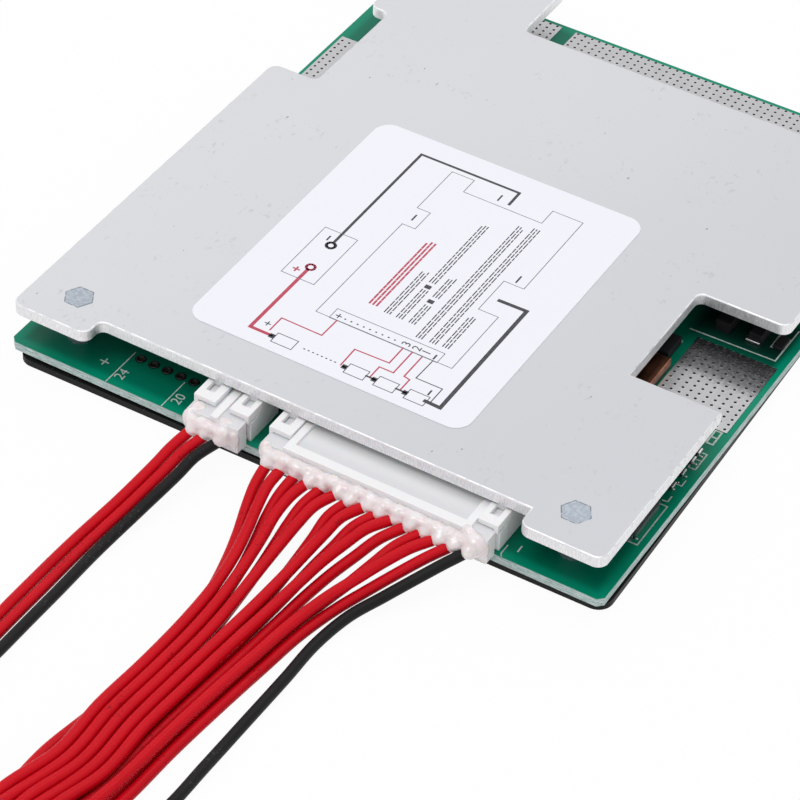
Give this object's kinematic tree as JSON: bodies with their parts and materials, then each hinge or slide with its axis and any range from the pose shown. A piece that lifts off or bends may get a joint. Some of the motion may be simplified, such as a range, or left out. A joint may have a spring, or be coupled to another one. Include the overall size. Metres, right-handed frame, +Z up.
{
  "type": "battery management board",
  "caption": "Flat circuit board under a notched aluminium heat spreader, with edge sockets, plugged wire harnesses and open solder pads.",
  "frame": {"origin": "middle of the underside of the insulating sheet, below the board's centre", "axes": "+X along the connector edge, -Y towards the connectors and harness, +Z up through the heat spreader"},
  "size_m": [0.1066, 0.2821, 0.0115],
  "materials": {
    "green_board": "glossy green solder mask over glass fibre laminate",
    "black_sheet": "matte black insulating sheet",
    "black_foam": "closed-cell foam tape",
    "spreader_aluminium": "satin sheet with fine scratches and dark flecks",
    "plated_steel": "zinc plated steel",
    "white_nylon": "natural white moulded nylon",
    "plated_brass": "tin plated brass",
    "tin_solder": "bright tin and solder",
    "hot_glue": "translucent hot-melt glue",
    "bare_copper": "bare copper",
    "black_resin": "black moulded resin",
    "grey_silicone": "soft grey thermal pad",
    "brown_ceramic": "ceramic chip",
    "white_paper": "satin printed label",
    "red_pvc": "glossy red insulation",
    "black_pvc": "glossy black insulation"
  },
  "bodies": {
    "root": {"circuit_board": "green_board", "insulating_sheet": "black_sheet", "foam_tape": "black_foam", "heat_spreader": "spreader_aluminium", "standoffs": "plated_steel", "standoff_screws": "plated_steel", "header_main": "white_nylon", "header_small": "white_nylon", "header_pins_main": "plated_brass", "header_pins_small": "plated_brass", "header_solder": "tin_solder", "plug_main": "white_nylon", "plug_small": "white_nylon", "terminals_main": "plated_brass", "terminals_small": "plated_brass", "glue_main": "hot_glue", "glue_small": "hot_glue", "battery_pad": "tin_solder", "output_pads": "tin_solder", "side_pad": "tin_solder", "copper_bar": "bare_copper", "power_transistors": "black_resin", "transistor_tabs": "tin_solder", "thermal_pads": "grey_silicone", "controller_chips": "black_resin", "chip_leads": "tin_solder", "balance_resistors": "black_resin", "balance_transistors": "black_resin", "capacitors": "brown_ceramic", "notch_parts": "black_resin", "edge_diodes": "black_resin", "edge_fuse": "black_resin", "edge_fuse_frame": "tin_solder", "label": "white_paper", "hank_main": "red_pvc", "hank_small": "red_pvc", "tips_main": "tin_solder", "tips_small": "tin_solder", "tie_main": "white_nylon", "tie_small": "white_nylon", "wire_main_1": "red_pvc", "wire_main_2": "red_pvc", "wire_main_3": "red_pvc", "wire_main_4": "red_pvc", "wire_main_5": "red_pvc", "wire_main_6": "red_pvc", "wire_main_7": "red_pvc", "wire_main_8": "red_pvc", "wire_main_9": "red_pvc", "wire_main_10": "red_pvc", "wire_main_11": "red_pvc", "wire_main_12": "red_pvc", "wire_main_13": "red_pvc", "wire_main_14": "red_pvc", "wire_main_15": "black_pvc", "wire_small_1": "red_pvc", "wire_small_2": "red_pvc", "wire_small_3": "black_pvc"}
  },
  "joints": []
}
